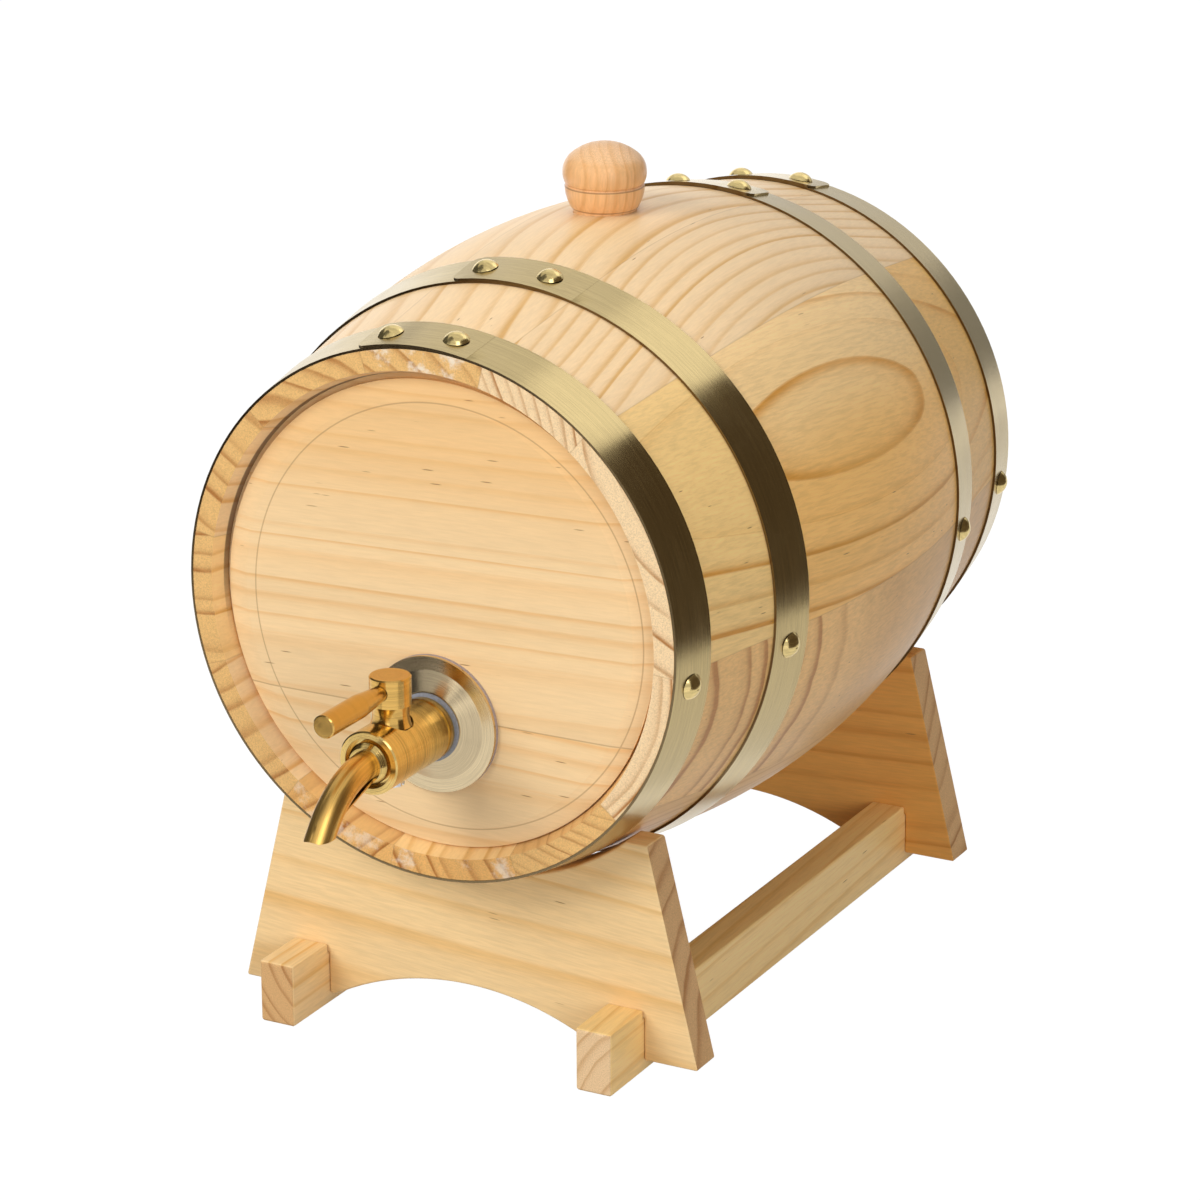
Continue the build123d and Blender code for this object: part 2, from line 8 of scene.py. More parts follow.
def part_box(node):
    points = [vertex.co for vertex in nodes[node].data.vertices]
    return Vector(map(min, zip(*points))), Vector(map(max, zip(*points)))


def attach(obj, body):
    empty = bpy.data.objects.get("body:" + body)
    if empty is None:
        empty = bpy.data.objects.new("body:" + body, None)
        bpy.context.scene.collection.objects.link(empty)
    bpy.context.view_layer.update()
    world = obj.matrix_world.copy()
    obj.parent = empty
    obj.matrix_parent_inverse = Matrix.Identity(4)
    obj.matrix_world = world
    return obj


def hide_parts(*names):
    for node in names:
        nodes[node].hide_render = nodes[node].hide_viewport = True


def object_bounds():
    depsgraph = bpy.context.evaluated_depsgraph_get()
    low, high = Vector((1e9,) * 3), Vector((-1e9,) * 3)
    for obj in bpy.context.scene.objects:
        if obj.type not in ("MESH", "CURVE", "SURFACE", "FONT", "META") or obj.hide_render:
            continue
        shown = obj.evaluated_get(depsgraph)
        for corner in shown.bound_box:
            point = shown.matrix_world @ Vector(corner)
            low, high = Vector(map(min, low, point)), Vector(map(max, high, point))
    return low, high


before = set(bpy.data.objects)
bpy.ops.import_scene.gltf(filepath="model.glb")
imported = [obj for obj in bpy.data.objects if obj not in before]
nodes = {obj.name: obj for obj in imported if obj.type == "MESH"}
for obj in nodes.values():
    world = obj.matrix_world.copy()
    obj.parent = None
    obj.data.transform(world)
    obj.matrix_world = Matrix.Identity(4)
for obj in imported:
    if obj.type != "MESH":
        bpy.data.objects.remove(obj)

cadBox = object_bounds()
mm = 0.001
barrelAxis = (0, 1, 0)  # towards the rear
upAxis = (0, 0, 1)
print("frame loaded:", len(nodes), "pieces")

# places that several pieces share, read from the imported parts
staveNames = [f"stave_{number:02d}" for number in range(1, 13)]
hoopNames = ["front_end_hoop", "front_quarter_hoop", "rear_quarter_hoop", "rear_end_hoop"]
staveBoxes = [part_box(name) for name in staveNames]
barrelLow = Vector([min(box[0][side] for box in staveBoxes) for side in range(3)])
barrelHigh = Vector([max(box[1][side] for box in staveBoxes) for side in range(3)])
barrelMiddle = (barrelLow + barrelHigh) / 2
barrelRadius = (barrelHigh.z - barrelLow.z) / 2
# distances of the hoops' edges from the barrel's middle, the quarter hoops' first
hoopReaches = [abs(corner.y - barrelMiddle.y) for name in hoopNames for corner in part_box(name)]
hoopEdges = sorted({round(reach, 5) for reach in hoopReaches})


def middleOf(name):
    low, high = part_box(name)
    return (low + high) / 2


def aroundBarrel(angle, radius):
    turn = math.radians(angle)
    return barrelMiddle + Vector((math.cos(turn), 0, math.sin(turn))) * radius


def roundwise(turn):
    return (-math.sin(turn), 0, math.cos(turn))


# each kind of wood piece starts its noise at a place of its own
seedStarts = {"stave": (0, 3.17), "head": (50, 2.3), "stand": (90, 4.1)}


def seedFor(kind, number):
    start, step = seedStarts[kind]
    return start + number * step


# node helpers
def put(tree, kind, inputs=None, **settings):
    node = tree.nodes.new(kind)
    for key, value in settings.items():
        setattr(node, key, value)
    for key, value in (inputs or {}).items():
        if isinstance(value, bpy.types.NodeSocket):
            tree.links.new(value, node.inputs[key])
        else:
            node.inputs[key].default_value = value
    return node


def sums(tree, operation, first, second=0.0, third=0.0):
    inputs = {0: first, 1: second, 2: third}
    return put(tree, "ShaderNodeMath", inputs, operation=operation).outputs[0]


def vectors(tree, operation, first, second=(0, 0, 0)):
    node = put(tree, "ShaderNodeVectorMath", {0: first, 1: second}, operation=operation)
    return node.outputs["Value" if operation in ("DOT_PRODUCT", "LENGTH") else "Vector"]


def scaled(tree, vector, factor):
    inputs = {0: vector, "Scale": factor}
    return put(tree, "ShaderNodeVectorMath", inputs, operation="SCALE").outputs["Vector"]


def ranged(tree, value, low, high, toLow=0.0, toHigh=1.0):
    inputs = {"Value": value, "From Min": low, "From Max": high, "To Min": toLow, "To Max": toHigh}
    node = put(tree, "ShaderNodeMapRange", inputs, interpolation_type="SMOOTHSTEP")
    return node.outputs["Result"]


mixSockets = {"share": 0, "first": 6, "second": 7, "result": 2}  # the colour ones of a mix node


def mixed(tree, share, first, second, kind="MIX"):
    node = put(tree, "ShaderNodeMix", data_type="RGBA", blend_type=kind)
    for key, value in (("share", share), ("first", first), ("second", second)):
        socket = node.inputs[mixSockets[key]]
        if isinstance(value, bpy.types.NodeSocket):
            tree.links.new(value, socket)
        else:
            socket.default_value = value if isinstance(value, float) else (*value, 1.0)
    return node.outputs[mixSockets["result"]]


def shaded(tree, colour, level):
    grey = put(tree, "ShaderNodeCombineColor", {0: level, 1: level, 2: level}).outputs[0]
    return mixed(tree, 1.0, colour, grey, "MULTIPLY")


def ramp(tree, value, stops):
    node = put(tree, "ShaderNodeValToRGB", {0: value})
    points = node.color_ramp.elements
    while len(points) < len(stops):
        points.new(1.0)
    for point, (place, level) in zip(points, stops):
        point.position = place
        point.color = (level, level, level, 1.0)
    return node.outputs["Color"]


def noise(tree, vector, scale, detail=2.0, rough=0.5):
    inputs = {"Vector": vector, "Scale": scale, "Detail": detail, "Roughness": rough}
    return put(tree, "ShaderNodeTexNoise", inputs).outputs["Fac"]


def bumped(tree, shader, height, strength, distance):
    inputs = {"Height": height, "Strength": strength, "Distance": distance}
    bump = put(tree, "ShaderNodeBump", inputs)
    tree.links.new(bump.outputs["Normal"], shader.inputs["Normal"])


# places in metres, from the object's own coordinates
def offsetAlong(tree, place, point, way):
    offset = vectors(tree, "SUBTRACT", place, tuple(point))
    return vectors(tree, "DOT_PRODUCT", offset, tuple(way))


def flattened(tree, place, centre):
    return vectors(tree, "MULTIPLY", vectors(tree, "SUBTRACT", place, tuple(centre)), (1, 0, 1))


def fromPlane(tree, place, point, normal):
    return sums(tree, "ABSOLUTE", offsetAlong(tree, place, point, normal))


def fromRing(tree, place, centre, radius):
    reach = vectors(tree, "LENGTH", flattened(tree, place, centre))
    return sums(tree, "ABSOLUTE", sums(tree, "SUBTRACT", reach, radius))


def nearest(tree, distances):
    closest = distances[0]
    for distance in distances[1:]:
        closest = sums(tree, "MINIMUM", closest, distance)
    return closest


# materials and edges
def emptyMaterial(name):
    material = bpy.data.materials.new(name)
    material.use_nodes = True
    material.node_tree.nodes.clear()
    return material, material.node_tree


def newMaterial(name):
    material, tree = emptyMaterial(name)
    shader = put(tree, "ShaderNodeBsdfPrincipled")
    put(tree, "ShaderNodeOutputMaterial", {"Surface": shader.outputs["BSDF"]})
    return material, tree, shader


def dress(name, material):
    slots = nodes[name].data.materials
    slots.clear()
    slots.append(material)


easeLook = {"join": 0.001 * mm, "width": 0.8 * mm, "segments": 3, "angle": math.radians(35)}


def easeEdges(name):
    weld = nodes[name].modifiers.new("join", "WELD")
    weld.merge_threshold = easeLook["join"]
    bevel = nodes[name].modifiers.new("ease", "BEVEL")
    bevel.width = easeLook["width"]
    bevel.segments = easeLook["segments"]
    bevel.limit_method = "ANGLE"
    bevel.angle_limit = easeLook["angle"]
    bevel.harden_normals = True


# wood: growth rings round a pith line, cut by the piece's own shape
woodLook = {
    "pale": (0.92, 0.66, 0.37),
    "late": (0.72, 0.41, 0.16),  # the dense wood that ends a ring
    "spacing": 6.5 * mm,
    "wander": 4.0 * mm,  # how far a ring strays
    "jitter": 1.6,  # how uneven the spacing is, in rings
    "phase": 0.0,  # in rings
    "contrast": 0.8,
    "faint": 0.45,  # strength of the weakest rings
    "patchy": 0.7,  # strength of a ring where it fades
    "narrow": False,  # finer dark lines
    "fibre": 0.05,
    "dashes": 0.85,  # strength of the resin dashes
    "dashShare": 0.6,  # share of the cells without a dash
    "fade": None,  # point, normal, start, end and strength kept: rings weaken past a plane
    "warm": None,  # pale tone before the plane of fade, which it needs
    # painted light and shade: lighter and darker pale tones along the barrel
    "lightAndShadeTones": (),  # ways along the barrel, with the pale tone past the quarter hoop there
    "endPale": (0.84, 0.51, 0.19),
    "endLate": (0.46, 0.19, 0.05),
    "filler": 0.0,  # white filler smeared on the cut ends
    # strength and colour of the dark joint lines and of the painted shade lines along hoop edges
    # and grooves
    "seamAndShade": 0.25,
    "seamAndShadeColour": (0.36, 0.19, 0.08),
    "roughness": 0.42,
    "coat": 0.12,
    "seed": 0.0,
}

# a ring's place and strength of late wood, from its inside outwards
lateShape = (
    (0.0, 0.5), (0.05, 0.06), (0.42, 0.0), (0.7, 0.25), (0.88, 0.9), (0.95, 1.0), (1.0, 0.5)
)
narrowShape = (
    (0.0, 0.5), (0.04, 0.0), (0.6, 0.0), (0.8, 0.22), (0.91, 0.85), (0.96, 1.0), (1.0, 0.5)
)
ringLook = {
    "wave": 24.0,  # noise scales
    "uneven": 0.45,
    "patches": 60.0,
    "detail": 3.0,
    "patchSpan": (0.3, 0.75),
    "strongest": 1.1,
}


def ringGrain(tree, across, drawn, look):
    strongest = ringLook["strongest"]
    wave = noise(tree, drawn, ringLook["wave"], ringLook["detail"])
    wave = sums(tree, "SUBTRACT", wave, 0.5)
    reach = vectors(tree, "LENGTH", across)
    reach = sums(tree, "MULTIPLY_ADD", wave, look["wander"] * 2, reach)
    count = sums(tree, "DIVIDE", reach, look["spacing"])
    inputs = {"W": count, "Scale": ringLook["uneven"], "Detail": 1.0}
    uneven = put(tree, "ShaderNodeTexNoise", inputs, noise_dimensions="1D").outputs["Fac"]
    count = sums(tree, "MULTIPLY_ADD", uneven, look["jitter"], count)
    count = sums(tree, "ADD", count, look["phase"])
    late = ramp(tree, sums(tree, "FRACT", count), narrowShape if look["narrow"] else lateShape)
    inputs = {"W": sums(tree, "FLOOR", count)}
    chance = put(tree, "ShaderNodeTexWhiteNoise", inputs, noise_dimensions="1D").outputs["Value"]
    strength = ranged(tree, chance, 0.0, 1.0, look["faint"], strongest)
    late = sums(tree, "MULTIPLY", late, strength)
    patches = noise(tree, drawn, ringLook["patches"], ringLook["detail"])
    patches = ranged(tree, patches, *ringLook["patchSpan"], look["patchy"], strongest)
    return sums(tree, "MULTIPLY", late, patches)


dashLook = {
    "shrink": 0.085,  # along the grain, so that cells are drawn out
    "cells": 420.0,
    "span": (0.04, 0.10),
    "soft": 0.04,
    "groups": 45.0,  # patches that hold the dashes
    "groupSpan": (0.42, 0.52),
    "colour": (0.3, 0.14, 0.05),
}


def resinDashes(tree, across, lengthPart, drawn, share):
    thin = vectors(tree, "ADD", across, scaled(tree, lengthPart, dashLook["shrink"]))
    inputs = {"Vector": thin, "Scale": dashLook["cells"], "Randomness": 1.0}
    cells = put(tree, "ShaderNodeTexVoronoi", inputs)
    inputs = {"Color": cells.outputs["Color"]}
    chosen = put(tree, "ShaderNodeSeparateColor", inputs).outputs["Red"]
    dash = ranged(tree, cells.outputs["Distance"], *dashLook["span"], 1.0, 0.0)
    dash = sums(tree, "MULTIPLY", dash, ranged(tree, chosen, share, share + dashLook["soft"]))
    groups = noise(tree, drawn, dashLook["groups"], 1.0)
    return sums(tree, "MULTIPLY", dash, ranged(tree, groups, *dashLook["groupSpan"]))


warmDepth = 35 * mm


def paleTone(tree, place, side, look):
    pale = look["pale"]
    if look["warm"]:
        pale = mixed(tree, ranged(tree, side, -warmDepth, 0.0), look["warm"], pale)
    # painted light and shade along the barrel, past the quarter hoops
    for way, tone in look["lightAndShadeTones"]:
        reach = offsetAlong(tree, place, barrelMiddle, way)
        pale = mixed(tree, ranged(tree, reach, *hoopEdges[:2]), pale, tone)
    return pale


# cut ends are darker, with harder rings, open pores and filler
endLook = {
    "span": (0.6, 0.85),  # how squarely a face cuts the grain
    "pores": 2400.0,
    "poreRough": 0.7,
    "poreSpan": (0.3, 0.75),
    "poreLevels": (1.08, 0.8),
    "smear": 130.0,
    "smearDetail": 5.0,
    "smearRough": 0.65,
    "smearSpan": (0.52, 0.7),
    "smearColour": (0.93, 0.84, 0.70),
}


def endTone(tree, place, late, pores, look):
    ends = mixed(tree, late, look["endPale"], look["endLate"])
    level = ranged(tree, pores, *endLook["poreSpan"], *endLook["poreLevels"])
    smear = noise(tree, place, endLook["smear"], endLook["smearDetail"], endLook["smearRough"])
    smear = ranged(tree, smear, *endLook["smearSpan"], 0.0, look["filler"])
    return mixed(tree, smear, shaded(tree, ends, level), endLook["smearColour"])


fibreLook = {
    "shrink": 0.07,  # along the grain
    "seedWay": (1.0, 0.7, 1.3),
    "scale": 1100.0,
    "detail": 3.0,
    "rough": 0.65,
    "span": (0.25, 0.75),
    "broad": 30.0,  # slow change of tone
    "broadSpan": (0.3, 0.7),
    "broadLevels": (1.04, 0.95),
}
# width of the joint lines and painted shade lines, and colour of the painted shade in the croze
seamAndShadeLook = {"span": (0.1 * mm, 0.35 * mm), "shade": (0.10, 0.05, 0.025)}
lacquerLook = {"lateRough": 0.06, "endRough": 0.2, "coatRough": 0.25, "specular": 0.25}
reliefLook = {
    "late": 0.03,
    "fibre": 0.5,
    "dash": 0.7,
    "pores": 0.9,
    "strength": 0.25,
    "distance": 0.15 * mm,
}


def woodMaterial(name, pith, along, seamsAndShade=None, **changes):
    look = {**woodLook, **changes}
    material, tree, shader = newMaterial(name)
    coords = put(tree, "ShaderNodeTexCoord")
    place = coords.outputs["Object"]
    along = tuple(Vector(along).normalized())
    fromPith = vectors(tree, "SUBTRACT", place, tuple(pith))
    lengthPart = scaled(tree, along, vectors(tree, "DOT_PRODUCT", fromPith, along))
    across = vectors(tree, "SUBTRACT", fromPith, lengthPart)
    drawn = vectors(tree, "ADD", across, scaled(tree, lengthPart, fibreLook["shrink"]))
    shift = tuple(look["seed"] * way for way in fibreLook["seedWay"])
    drawn = vectors(tree, "ADD", drawn, shift)

    # rings, fibres and dashes
    late = ringGrain(tree, across, drawn, look)
    side = None
    if look["fade"]:
        point, normal, low, high, kept = look["fade"]
        side = offsetAlong(tree, place, point, normal)
        late = sums(tree, "MULTIPLY", late, ranged(tree, side, low, high, 1.0, kept))
    fibre = noise(tree, drawn, fibreLook["scale"], fibreLook["detail"], fibreLook["rough"])
    dash = resinDashes(tree, across, lengthPart, drawn, look["dashShare"])
    share = sums(tree, "MULTIPLY", late, look["contrast"])
    colour = mixed(tree, share, paleTone(tree, place, side, look), look["late"])
    level = ranged(tree, fibre, *fibreLook["span"], 1.0 + look["fibre"], 1.0 - look["fibre"])
    broad = noise(tree, drawn, fibreLook["broad"])
    broad = ranged(tree, broad, *fibreLook["broadSpan"], *fibreLook["broadLevels"])
    colour = shaded(tree, colour, sums(tree, "MULTIPLY", level, broad))
    share = sums(tree, "MULTIPLY", dash, look["dashes"])
    colour = mixed(tree, share, colour, dashLook["colour"])

    # cut ends, then the dark lines along joints, the painted shade lines along hoop edges, grooves
    # and the bung's foot, and the painted shade in the croze
    facing = vectors(tree, "DOT_PRODUCT", coords.outputs["Normal"], along)
    cutEnd = ranged(tree, sums(tree, "ABSOLUTE", facing), *endLook["span"])
    pores = noise(tree, fromPith, endLook["pores"], rough=endLook["poreRough"])
    colour = mixed(tree, cutEnd, colour, endTone(tree, place, late, pores, look))
    seamAndShadeLine = None
    if seamsAndShade:
        near, shade = seamsAndShade(tree, place)
        seamAndShadeLine = ranged(tree, near, *seamAndShadeLook["span"], 1.0, 0.0)
        share = sums(tree, "MULTIPLY", seamAndShadeLine, look["seamAndShade"])
        colour = mixed(tree, share, colour, look["seamAndShadeColour"])
        if shade is not None:
            colour = mixed(tree, shade, colour, seamAndShadeLook["shade"])
    tree.links.new(colour, shader.inputs["Base Color"])

    # lacquer and relief
    rough = sums(tree, "MULTIPLY_ADD", late, lacquerLook["lateRough"], look["roughness"])
    rough = sums(tree, "MULTIPLY_ADD", cutEnd, lacquerLook["endRough"], rough)
    tree.links.new(rough, shader.inputs["Roughness"])
    shader.inputs["Coat Weight"].default_value = look["coat"]
    shader.inputs["Coat Roughness"].default_value = lacquerLook["coatRough"]
    shader.inputs["Specular IOR Level"].default_value = lacquerLook["specular"]
    height = sums(tree, "MULTIPLY", late, reliefLook["late"])
    height = sums(tree, "MULTIPLY_ADD", fibre, reliefLook["fibre"], height)
    height = sums(tree, "SUBTRACT", height, sums(tree, "MULTIPLY", dash, reliefLook["dash"]))
    openPores = sums(tree, "MULTIPLY", pores, cutEnd)
    height = sums(tree, "MULTIPLY_ADD", openPores, reliefLook["pores"], height)
    if seamAndShadeLine is not None:
        height = sums(tree, "SUBTRACT", height, seamAndShadeLine)
    bumped(tree, shader, height, reliefLook["strength"], reliefLook["distance"])
    return material


# staves: pith's angle round the barrel, its radius and the ring spacing in mm, its lean, two tones
# tones by place round the barrel; the low ones are darker, partly the wood's own tone and partly
# painted shade of the lower flank
paleTop, lateTop = (0.94, 0.67, 0.375), (0.73, 0.41, 0.13)
paleFlank, lateFlank = (0.98, 0.665, 0.305), (0.70, 0.32, 0.055)
paleLowShaded, lateLowShaded = (0.80, 0.48, 0.185), (0.52, 0.24, 0.075)
staveSawn = {
    "stave_01": (140, 60, 6.0, 0.03, paleTop, lateTop),
    "stave_02": (130, 70, 3.9, 0.02, paleTop, lateTop),
    "stave_03": (28, 149.4, 8.7, 0.041, paleFlank, lateFlank),
    "stave_04": (28, 149.4, 8.7, 0.041, paleFlank, lateFlank),
    "stave_05": (-20, -6, 5.0, -0.22, paleLowShaded, lateLowShaded),
    "stave_06": (20, 80, 4.0, 0.02, paleLowShaded, lateLowShaded),
    "stave_07": (-30, 85, 6.5, 0.02, paleFlank, lateFlank),
    "stave_08": (-180, 100, 7.0, -0.02, paleLowShaded, lateLowShaded),
    "stave_09": (170, 125, 8.0, 0.02, paleTop, lateFlank),
    "stave_10": (130, 150, 7.5, 0.01, paleFlank, lateFlank),
    "stave_11": (95, 135, 8.5, -0.02, paleTop, lateFlank),
    "stave_12": (165, 60, 7.0, 0.03, paleTop, lateTop),
}
sameBoard = {"stave_04": "stave_03"}  # one figure runs over both
plainAngle = 38  # the figure is plainer above
paleEnds = {"endPale": (0.94, 0.69, 0.40)}
ruddyEnds = {"endPale": (0.83, 0.46, 0.15), "endLate": (0.42, 0.15, 0.03)}
figure = {
    **paleEnds,
    "wander": 2.4 * mm,
    "jitter": 0.0,
    "contrast": 1.6,
    "patchy": 0.35,
    "fibre": 0.095,
    "phase": 126.49,
    "faint": 0.2,
    "narrow": True,
    "dashShare": 0.15,
    "warm": (0.97, 0.56, 0.18),
    # lighter at the front as painted light, darker at the rear as painted shade
    "lightAndShadeTones": (((0, -1, 0), (0.99, 0.66, 0.26)), ((0, 1, 0), (0.86, 0.51, 0.16))),
    "fade": (
        aroundBarrel(plainAngle, barrelRadius), roundwise(math.radians(plainAngle)), 0, 3 * mm, 0.8
    ),
}
figureTwist = -0.102  # the pith's lean round the barrel
staveExtras = {
    "stave_01": {"wander": 2.5 * mm, "jitter": 0.8, "contrast": 1.0, "filler": 0.8},
    "stave_02": {"wander": 1.8 * mm, "jitter": 0.6, "contrast": 1.2, **paleEnds},
    "stave_03": figure,
    "stave_04": figure,
    "stave_05": {
        **paleEnds,
        "wander": 2.4 * mm,
        "contrast": 1.3,
        "fibre": 0.11,
        # a darker pale tone, partly the wood's own tone and partly painted shade of the lower
        # flank; warmer and lighter towards the front
        "pale": (0.75, 0.43, 0.15),
        "warm": (0.87, 0.525, 0.20),
        "fade": (barrelMiddle, barrelAxis, -32 * mm, -20 * mm, 0.15),
    },
    "stave_07": {**ruddyEnds, "filler": 0.6},
    "stave_08": {**ruddyEnds, "filler": 0.4},
}

# the gap between head and lip is in shade at the upper left
lipLook = {
    "radiusSpan": (80.4 * mm, 80.8 * mm),
    "depthSpan": (4.8 * mm, 5.2 * mm),
    "side": (-0.79, 0, 0.61),
    "sideSpan": (0.6, 0.9),
    "strength": 0.8,
}


def crozeShade(tree, place, reach):
    flat = flattened(tree, place, barrelMiddle)
    radius = vectors(tree, "LENGTH", flat)
    within = ranged(tree, radius, *lipLook["radiusSpan"], lipLook["strength"], 0.0)
    leans = vectors(tree, "DOT_PRODUCT", vectors(tree, "NORMALIZE", flat), lipLook["side"])
    within = sums(tree, "MULTIPLY", within, ranged(tree, leans, *lipLook["sideSpan"]))
    depth = sums(tree, "SUBTRACT", hoopEdges[-1], reach)
    return sums(tree, "MULTIPLY", within, ranged(tree, depth, *lipLook["depthSpan"]))


def staveSeamsAndShade(name):
    points = [vertex.co - barrelMiddle for vertex in nodes[name].data.vertices]
    middle = math.atan2(sum(point.z for point in points), sum(point.x for point in points))
    turns = [math.atan2(point.z, point.x) - middle for point in points]
    turns = [(turn + math.pi) % math.tau - math.pi for turn in turns]
    sides = [middle + min(turns), middle + max(turns)]
    if name in sameBoard.values():
        sides = sides[1:]
    elif name in sameBoard:
        sides = sides[:1]

    def distances(tree, place):
        # dark joints at the stave's sides; the lines along the hoops' edges and the patch in the
        # croze are painted shade
        found = [fromPlane(tree, place, barrelMiddle, roundwise(turn)) for turn in sides]
        reach = fromPlane(tree, place, barrelMiddle, barrelAxis)
        for edge in hoopEdges[:-1]:
            found.append(sums(tree, "ABSOLUTE", sums(tree, "SUBTRACT", reach, edge)))
        return nearest(tree, found), crozeShade(tree, place, reach)

    return distances


for name, (pithAngle, pithRadius, spacing, lean, pale, late) in staveSawn.items():
    pith = aroundBarrel(pithAngle, pithRadius * mm)
    outwards = aroundBarrel(pithAngle, 1.0) - barrelMiddle
    along = Vector(barrelAxis) + outwards * lean
    if staveExtras.get(name) is figure:
        along += outwards.cross(Vector(barrelAxis)) * figureTwist
    board = staveNames.index(sameBoard.get(name, name))
    looks = {"spacing": spacing * mm, "seed": seedFor("stave", board), "pale": pale, "late": late}
    looks.update(staveExtras.get(name, {}))
    dress(name, woodMaterial(f"{name}Pine", pith, along, staveSeamsAndShade(name), **looks))
print("staves dressed")

# heads: two boards each, grain across the barrel, a dark joint between the boards, and a fine line
# of painted shade where the rim is bevelled
headLook = {
    "pale": (0.91, 0.65, 0.355),
    "late": (0.78, 0.39, 0.105),
    "seamAndShade": 0.5,
    "jitter": 2.6,
    "dashShare": 0.15,
    "fibre": 0.04,
}
headTop = {  # warmer towards the top
    "warm": (0.91, 0.585, 0.27),
    "fade": (barrelMiddle + Vector((0, 0, 22 * mm)), (0, 0, -1), 0, mm, 1.0),
}
headBevel = 71.8 * mm
# pith's rise and depth and ring spacing in mm, its lean, contrast
headSawn = {
    "front_head_upper": (-95, 50, 6.5, 0.03, 0.55),
    "front_head_lower": (-60, 60, 7.5, -0.03, 0.65),
    "rear_head_upper": (60, 50, 7.5, 0.03, 0.8),
    "rear_head_lower": (-50, 30, 6.5, -0.02, 0.8),
}


def headSeamsAndShade(name):
    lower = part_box(name.replace("upper", "lower"))
    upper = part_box(name.replace("lower", "upper"))
    middle = (lower[0] + upper[1]) / 2

    def distances(tree, place):
        board = fromPlane(tree, place, lower[1], upAxis)
        return nearest(tree, [board, fromRing(tree, place, middle, headBevel)]), None

    return distances


for number, (name, sawn) in enumerate(headSawn.items()):
    pithRise, pithDepth, spacing, lean, contrast = sawn
    inwards = 1 if middleOf(name).y < barrelMiddle.y else -1
    pith = middleOf(name) + Vector((0, inwards * pithDepth, pithRise)) * mm
    looks = {**headLook, "spacing": spacing * mm, "seed": seedFor("head", number)}
    looks["contrast"] = contrast
    if "upper" in name:
        looks.update(headTop)
    dress(name, woodMaterial(f"{name}Pine", pith, (1, 0, lean), headSeamsAndShade(name), **looks))
print("heads dressed")

# stand: eased edges, browner cut ends
standLook = {
    "pale": (0.93, 0.66, 0.335),
    "late": (0.77, 0.42, 0.115),
    "jitter": 2.4,
    "fibre": 0.075,
    "endPale": (0.72, 0.43, 0.19),
    "endLate": (0.46, 0.21, 0.07),
    "coat": 0.05,
    "roughness": 0.5,
}
# grain's way, pith's rise and side and ring spacing in mm
standSawn = {
    "front_cradle": ((1, 0, -0.07), -45, 40, 10.0),
    "rear_cradle": ((1, 0, 0.05), 70, -50, 9.0),
    "left_rail": ((0.02, 1, 0.01), 25, 30, 5.0),
    "right_rail": ((-0.02, 1, 0.02), -25, 32, 5.5),
}
standExtras = {
    "front_cradle": {"wander": 8 * mm, "contrast": 0.6},
    # darker, more orange tones that paint the shade under the barrel and the warm light it throws
    # back
    "rear_cradle": {"pale": (0.83, 0.415, 0.105), "late": (0.62, 0.25, 0.045)},
    # lighter tones that paint the light falling on the rail's side
    "right_rail": {
        "pale": (0.98, 0.68, 0.29),
        "contrast": 0.65,
        "endPale": (0.86, 0.60, 0.34),
        "endLate": (0.64, 0.37, 0.17),
    },
}
for number, (name, (along, pithRise, pithSide, spacing)) in enumerate(standSawn.items()):
    sideways = Vector((0, 1, 0)) if along[0] == 1 else Vector((1, 0, 0))
    pith = middleOf(name) + (sideways * pithSide + Vector((0, 0, pithRise))) * mm
    looks = {**standLook, "spacing": spacing * mm, "seed": seedFor("stand", number)}
    looks.update(standExtras.get(name, {}))
    dress(name, woodMaterial(f"{name}Pine", pith, along, **looks))
    easeEdges(name)

# bung: turned hardwood, standing grain
bungLook = {
    "spacing": 3.4 * mm,
    "wander": 2.5 * mm,
    "contrast": 0.75,
    "fibre": 0.08,
    # strength of the painted shade lines at the foot and the groove
    "seamAndShade": 0.8,
    "pale": (0.85, 0.49, 0.225),
    "late": (0.72, 0.35, 0.12),
    "endPale": (0.87, 0.53, 0.27),
    "endLate": (0.78, 0.43, 0.19),
    "dashes": 0.7,
    "roughness": 0.3,
    "coat": 0.35,
    "seed": 21.0,
}
bungPith = middleOf("bung") + Vector((22, 12, 0)) * mm
bungGrain = (0.10, -0.06, 1)
# painted shade lines under the bung's foot and in its groove
bungShadeLines = {"foot": 0.9 * mm, "groove": 8.4 * mm}  # above the barrel's top


def bungPaintedShade(tree, place):
    top = Vector((0, 0, barrelMiddle.z + barrelRadius))
    points = [top + Vector((0, 0, rise)) for rise in bungShadeLines.values()]
    return nearest(tree, [fromPlane(tree, place, point, upAxis) for point in points]), None


dress("bung", woodMaterial("bungHardwood", bungPith, bungGrain, bungPaintedShade, **bungLook))
print("stand and bung dressed")

# metal: fine lines left by the brush or the lathe run round an axis
metalLook = {
    "axis": barrelAxis,
    "spin": "Y",
    "lines": 3600.0,
    "roughness": 0.2,
    "depth": 0.3,
    "anisotropy": 0.5,
    "marks": 0.0,  # darker turning marks
    "dent": 0.0,
    "dish": 0.0,
    "drawn": False,  # lines run along a tube
    # painted shade: a darker level inside a radius
    "innerShade": None,  # radius, with the level inside it
    # painted shade: a dark colour for faces across the axis
    "edgeShade": None,  # of faces across the axis
    "pieces": (),
}
lineLook = {
    "stray": 0.012,  # lines aren't quite round
    "drawnOut": (1, 0.02, 1),
    "detail": 3.0,
    "rough": 0.7,
    "span": (0.3, 0.7),
    "levels": (0.84, 1.1),
    "roughShare": 0.12,
    "height": 0.05 * mm,
}
markLook = {"scale": 800.0, "span": (0.52, 0.66)}
